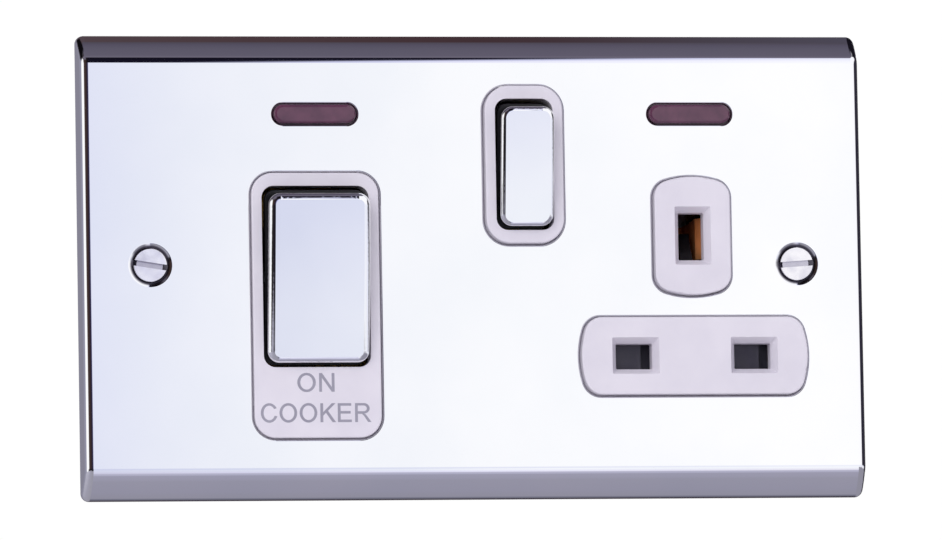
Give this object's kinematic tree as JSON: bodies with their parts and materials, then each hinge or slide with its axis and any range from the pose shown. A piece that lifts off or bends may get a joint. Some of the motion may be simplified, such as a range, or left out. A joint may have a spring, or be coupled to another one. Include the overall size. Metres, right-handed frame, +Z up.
{
  "type": "cooker control unit",
  "caption": "Wall-mounted cooker control unit: bevelled chrome plate with a large rocker switch, a switched earthed socket outlet and red indicator windows.",
  "frame": {"origin": "midway between the two fixing screws, in the plane of the plate's rear rim (the wall)", "axes": "+X right as seen from the front, +Y into the wall, +Z up; the plate faces -Y"},
  "size_m": [0.146, 0.0346, 0.086],
  "materials": {
    "chrome": "mirror-polished chrome plating",
    "white_plastic": "satin white moulding",
    "black_plastic": "black moulding",
    "plunger_plastic": "natural nylon",
    "spring_steel": "bright spring wire",
    "brass": "bright brass",
    "copper": "phosphor bronze",
    "screw_steel": "zinc-plated steel",
    "lens_red": "tinted translucent lens",
    "lamp_glass": "clear glass",
    "tinned_wire": "tinned copper wire",
    "resistor": "lacquered",
    "shutter_grey": "dark moulding",
    "housing_plastic": "matt white moulding"
  },
  "bodies": {
    "unit": {"front_plate": "chrome", "fixing_screws": "chrome", "cooker_front": "white_plastic", "socket_front": "white_plastic", "shutter_spring": "spring_steel", "neutral_supply_bar": "brass", "live_supply_bar": "brass", "neutral_load_bar": "brass", "live_load_bar": "brass", "live_pin_bar": "brass", "neutral_link_bar": "brass", "neutral_supply_terminal": "brass", "live_supply_terminal": "brass", "neutral_load_terminal": "brass", "live_load_terminal": "brass", "earth_terminal": "brass", "plate_pillars": "brass", "earth_plate_strap": "brass", "earth_pin_bar": "copper", "terminal_screws": "screw_steel", "housing_screws": "screw_steel", "earth_strap_screw": "screw_steel", "cooker_neon_lens": "lens_red", "socket_neon_lens": "lens_red", "cooker_neon_lamp": "lamp_glass", "socket_neon_lamp": "lamp_glass", "cooker_neon_leads": "tinned_wire", "socket_neon_leads": "tinned_wire", "cooker_neon_resistor": "resistor", "socket_neon_resistor": "resistor", "rear_housing": "housing_plastic"},
    "cooker_rocker": {"cooker_rocker_cap": "chrome", "cooker_rocker_carrier": "black_plastic", "cooker_plunger_neutral": "plunger_plastic", "cooker_plunger_live": "plunger_plastic", "cooker_spring_neutral": "spring_steel", "cooker_spring_live": "spring_steel"},
    "socket_rocker": {"socket_rocker_cap": "chrome", "socket_rocker_carrier": "black_plastic", "socket_plunger": "plunger_plastic", "socket_spring": "spring_steel"},
    "cooker_contact_neutral": {"cooker_contact_neutral": "brass"},
    "cooker_contact_live": {"cooker_contact_live": "brass"},
    "socket_contact": {"socket_contact": "brass"},
    "shutter": {"shutter": "shutter_grey"}
  },
  "joints": [
    {"name": "cooker_rocker_tilt", "type": "hinge", "parent": "unit", "child": "cooker_rocker", "pos_m": [-0.0297, -0.005, -0.0022], "axis": [-1, 0, 0], "range_deg": [0, 18]},
    {"name": "socket_rocker_tilt", "type": "hinge", "parent": "unit", "child": "socket_rocker", "pos_m": [0.0093, -0.005, 0.0184], "axis": [-1, 0, 0], "range_deg": [0, 18]},
    {"name": "cooker_neutral_contact_tilt", "type": "hinge", "parent": "unit", "child": "cooker_contact_neutral", "pos_m": [-0.0347, 0.0076, -0.0022], "axis": [-1, 0, 0], "range_deg": [-13.01, 0]},
    {"name": "cooker_live_contact_tilt", "type": "hinge", "parent": "unit", "child": "cooker_contact_live", "pos_m": [-0.0247, 0.0076, -0.0022], "axis": [-1, 0, 0], "range_deg": [-13.01, 0]},
    {"name": "socket_contact_tilt", "type": "hinge", "parent": "unit", "child": "socket_contact", "pos_m": [0.0093, 0.0076, 0.0184], "axis": [-1, 0, 0], "range_deg": [-13.01, 0]},
    {"name": "shutter_slide", "type": "slide", "parent": "unit", "child": "shutter", "axis": [0, 0, -1], "range_m": [0, 0.0054], "stiffness_N_per_m": 200, "springref_m": -0.005, "deforming": ["shutter_spring"]}
  ],
  "couplings": [
    {"joint": "cooker_neutral_contact_tilt", "follows": "cooker_rocker_tilt", "ratio": -0.72222},
    {"joint": "cooker_live_contact_tilt", "follows": "cooker_rocker_tilt", "ratio": -0.72222},
    {"joint": "socket_contact_tilt", "follows": "socket_rocker_tilt", "ratio": -0.72222}
  ]
}
